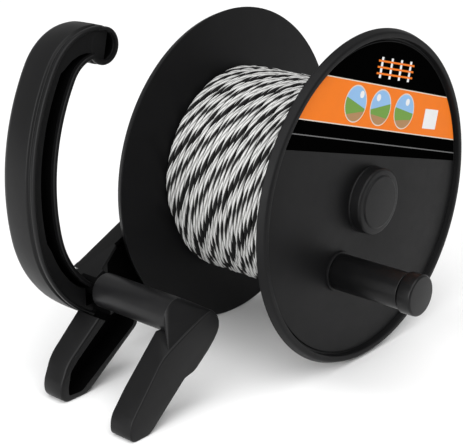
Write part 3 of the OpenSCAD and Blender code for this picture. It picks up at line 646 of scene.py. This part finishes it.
# Crank grip. A smooth black sleeve turns on a spindle in the flange's boss, and a flanged end cap
# closes it, with a narrow groove between them.
grip_black = moulded("grip_black", 0.003, 0.32, 0.2, grain=0.03)
sleeve_start, sleeve_end, rim_start, grip_end = -1.7, -47.2, -48.2, -57.2
sleeve_bore, sleeve_reach = 4.1, 10.75
sleeve = turned((
    (sleeve_bore, sleeve_start, 0.2), (sleeve_reach, sleeve_start, 0.6), (sleeve_reach, sleeve_end, 0.6),
    (sleeve_bore, sleeve_end, 0.2)), crank_middle, 80, closed=True)
settle(sleeve, "crank_sleeve_turned", "grip", [grip_black], ["crank_sleeve"])
end_cap = turned((
    (0, sleeve_end, 0), (9.5, sleeve_end, 0), (9.5, rim_start, 0.1), (12.0, rim_start, 0.7),
    (12.0, grip_end, 1.4), (0, grip_end, 0)), crank_middle, 80)
settle(end_cap, "crank_end_cap_turned", "grip", [grip_black], ["crank_end_cap"])


# Label. A printed film on the upper part of the crank flange: black with an orange band, plain
# round pictures of a field and a row of posts and wires.
def printed(name, colour, shine=0.1):
    """Ink on a smooth film, a little uneven."""
    material, shader, where = new_finish(name)
    dots = noise(where, 3000.0)
    cloud = noise(where, 90.0, 3.0)
    lighter = tuple(min(1.0, c * 1.1 + 0.0003) for c in colour)
    ramp(where, dots * 0.5 + cloud * 0.5, 0.3, colour, 0.8, lighter).feed(shader, "Base Color")
    (0.4 + cloud * 0.16).feed(shader, "Roughness")
    shader.inputs["Specular IOR Level"].default_value = shine
    return material


inks = [printed("ink_black", (0.0006, 0.0006, 0.0006), 0.0), printed("ink_orange", (0.74, 0.165, 0.008)),
        printed("ink_pale", (0.62, 0.55, 0.47)), printed("ink_white", (0.7, 0.7, 0.7)),
        printed("ink_sky", (0.24, 0.42, 0.66)), printed("ink_grass", (0.14, 0.28, 0.05)),
        printed("ink_hay", (0.36, 0.2, 0.09)), printed("ink_grey", (0.12, 0.12, 0.12))]
black, orange, pale, white, sky_blue, grass, hay, mid_grey = range(len(inks))
label_reach, label_chord, film, layer_lift = 92.0, 26.0, 0.3, 0.02
print_turn, print_slope, picture_reach, picture_height = 14.7, 0.0236, 10.0, 53.75
label_bm = bmesh.new()
bmesh.ops.create_circle(label_bm, cap_ends=True, segments=160, radius=label_reach,
                        matrix=Matrix.Translation((0, -film, 0)) @ facing)
stripe_heights = (32.6, 33.2, 40.85, 41.45, 66.05, 66.65)
print_lines = ((label_chord, 0.0), *((height, print_slope) for height in stripe_heights))
for height, slope in print_lines:
    bmesh.ops.bisect_plane(label_bm, geom=label_bm.verts[:] + label_bm.edges[:] + label_bm.faces[:],
                           plane_co=(0, 0, height), plane_no=Vector((slope, 0, 1)).normalized(),
                           clear_inner=height == label_chord)
for face in label_bm.faces:
    middle = face.calc_center_median()
    band = sum(middle.z + middle.x * slope > height for height, slope in print_lines)
    face.material_index = (black, black, mid_grey, black, pale, orange, pale, black)[band]
grown = bmesh.ops.extrude_face_region(label_bm, geom=label_bm.faces[:])
bmesh.ops.translate(label_bm, vec=(0, film, 0), verts=picked(grown["geom"], bmesh.types.BMVert))
bmesh.ops.recalc_face_normals(label_bm, faces=label_bm.faces)


def print_disc(x, z, radius, ink, layer, below=None):
    """A round printed patch, or only what lies below a sloping line (height, slope)."""
    made = bmesh.ops.create_circle(label_bm, cap_ends=True, segments=48, radius=radius,
                                   matrix=Matrix.Translation((x, -film - layer * layer_lift, z)) @ facing)
    corners = made["verts"]
    faces = list({f for v in corners for f in v.link_faces})
    if below is not None:
        edges = list({e for v in corners for e in v.link_edges})
        cut = bmesh.ops.bisect_plane(label_bm, geom=corners + edges + faces, plane_co=(x, 0, below[0]),
                                     plane_no=Vector((below[1], 0, 1)).normalized(), clear_outer=True)
        faces = picked(cut["geom"], bmesh.types.BMFace)
    for face in faces:
        face.material_index = ink


def print_bar(x, z, width, height, ink, layer):
    """A printed bar with its middle at a place."""
    stretch = Matrix.Diagonal((width, height, 1, 1))
    placed = Matrix.Translation((x, -film - layer * layer_lift, z)) @ facing @ stretch
    made = bmesh.ops.create_grid(label_bm, x_segments=1, y_segments=1, size=0.5, matrix=placed)
    for face in {f for v in made["verts"] for f in v.link_faces}:
        face.material_index = ink


for x, slope in ((-31.0, 0.3), (-5.5, -0.22), (20.0, 0.14)):
    z = picture_height - x * print_slope
    print_disc(x, z, 10.7, pale, 1)
    print_disc(x, z, picture_reach, sky_blue, 2)
    print_disc(x + slope * 16.0, z + 5.6, 2.1, white, 3)
    print_disc(x, z, picture_reach, grass, 4, below=(z + 0.6, slope))
    print_disc(x, z, picture_reach, hay, 5, below=(z - 5.2, -slope * 0.5))
print_bar(51.0, 50.4, 15.0, 12.0, white, 1)
for post in range(4):
    print_bar(-12.0 + post * 10.0, 76.6, 2.2, 12.0, white, 1)
for wire_row in range(3):
    print_bar(3.0, 73.1 + wire_row * 3.6, 38.0, 1.1, orange, 2)
turned_print = Matrix.Rotation(math.radians(print_turn), 3, "Y")
bmesh.ops.rotate(label_bm, cent=(0, 0, 0), matrix=turned_print, verts=label_bm.verts)
settle(label_bm, "printed_label", "drum", inks, ["label"])


# Wound wire. Fence wire of twisted white and black polymer strands, wound in close turns over the
# layers below; both ends dip under the next turn.
def strand(name, low, high, rough):
    """Fine polymer fibres that run along the strand, with painted shade in the grooves between strands and
    painted light on their rounded tops.
    """
    material, shader, where = new_finish(name)
    tree = material.node_tree
    along = Tone(tree, tree.nodes.new("ShaderNodeTexCoord").outputs["UV"])
    stretched = along.node("ShaderNodeMapping", {}, {"Vector": along, "Scale": (900.0, 60.0, 1.0)})
    fibre = noise(stretched, 1.0, 3.0)
    dull = noise(where, 60.0, 3.0)
    # A wave across the strands paints shade into the grooves between them and light onto their tops.
    painted_groove_shade = along.node("ShaderNodeTexWave", {"bands_direction": "Y"}, {"Vector": along, "Scale": 1.885})
    ramp(along, fibre * 0.3 + dull * 0.2 + painted_groove_shade * 0.5, 0.2, low, 0.72, high).feed(shader, "Base Color")
    (rough + fibre * 0.2).feed(shader, "Roughness")
    bump = along.node("ShaderNodeBump", {}, {"Strength": 0.3, "Distance": 0.0002, "Height": fibre})
    bump.feed(shader, "Normal")
    shader.inputs["Specular IOR Level"].default_value = 0.2
    return material


white_strand = strand("white_strand", (0.16, 0.16, 0.155), (0.62, 0.62, 0.61), 0.45)
black_strand = strand("black_strand", (0.0015, 0.0015, 0.0015), (0.005, 0.005, 0.005), 0.7)
turns, wire_reach, valley, sides = 26, 1.88, 0.88, 12
first_angle, end_sink = math.radians(200.0), 3.0
turn_reach, first_depth, last_depth = 62.4, 4.35, 101.6
twists_per_turn, rings_per_turn = 10.865, 220
rings = turns * rings_per_turn
black_columns = (0, 1, 5, 6, 7)
wire_bm = bmesh.new()
wire_bm.loops.layers.uv.new("UVMap")
bmesh.ops.create_grid(wire_bm, x_segments=rings, y_segments=sides, size=1.0, calc_uvs=True)
for vert in wire_bm.verts:
    share = (vert.co.x + 1.0) / 2.0
    side = round((vert.co.y + 1.0) / 2.0 * sides)
    turn = share * turns
    angle = first_angle + turn * math.tau
    dip = min(turn, turns - turn) * 12.0
    sink = end_sink * max(0.0, 1.0 - dip) ** 2
    wander = 0.24 * math.sin(turn * 2.31 + 1.7 * math.sin(angle)) + 0.08 * math.sin(3.0 * angle + turn * 5.7)
    lift = (0.25 * math.sin(turn * 3.77 + 2.0 * math.sin(angle + 1.0))
            + 0.12 * math.sin(5.0 * angle + turn * 7.3))
    calm = min(1.0, dip / 6.0)
    depth = first_depth + (last_depth - first_depth) * share + wander * calm
    reach = turn_reach - sink + lift * calm
    slip = (0.06 * math.sin(turn * 14.6 + 1.3 * math.sin(turn * 4.1))
            + 0.05 * math.sin(turn * 8.9 + 2.0 * math.sin(turn * 2.3)) + 0.03 * math.sin(turn * 22.4))
    twist = math.tau * (side / sides + turn * twists_per_turn + slip)
    section = wire_reach * (1.0 if side % 2 else valley)
    out = reach + section * math.cos(twist)
    vert.co = (out * math.cos(angle), depth + section * math.sin(twist), out * math.sin(angle))
uv_layer = wire_bm.loops.layers.uv.active
for face in wire_bm.faces:
    column = sum(loop[uv_layer].uv.y for loop in face.loops) / 4.0 * sides
    face.material_index = 1 if int(column) in black_columns else 0
    for loop in face.loops:
        loop[uv_layer].uv.x *= turns * math.tau * turn_reach / 1000.0
bmesh.ops.remove_doubles(wire_bm, verts=wire_bm.verts, dist=0.02)
bmesh.ops.holes_fill(wire_bm, edges=[e for e in wire_bm.edges if e.is_boundary], sides=0)
bmesh.ops.recalc_face_normals(wire_bm, faces=wire_bm.faces)
settle(wire_bm, "wound_wire", "drum", [white_strand, black_strand], ["wire_winding"],
       sharp=80.0)

bed_front, bed_back, bed_bore, bed_reach = 2.5, 103.5, 30.2, 58.0
bed_profile = [(bed_bore, bed_front, 0), (bed_reach, bed_front, 0)]
for row in range(turns):
    middle = bed_front + (row + 0.5) * (bed_back - bed_front) / turns
    bed_profile += [(60.2, middle - 1.6, 0), (61.3, middle, 1.2), (60.2, middle + 1.6, 0)]
bed_profile += [(bed_reach, bed_back, 0), (bed_bore, bed_back, 0)]
# The layers below are mottled near-black and grey. This is partly the wire's own mix of strands and partly
# painted shade between the turns, drawn darker than the wire.
bed, bed_shader, bed_where = new_finish("wire_layers")
bed_noise = noise(bed_where, 420.0, 3.0)
ramp(bed_where, bed_noise, 0.42, (0.02, 0.02, 0.02), 0.55, (0.3, 0.3, 0.29)).feed(bed_shader, "Base Color")
(0.5 + bed_noise * 0.2).feed(bed_shader, "Roughness")
settle(turned(bed_profile, origin, 120, closed=True), "wire_layers_below", "drum", [bed],
       ["wire_core"], sharp=60.0)
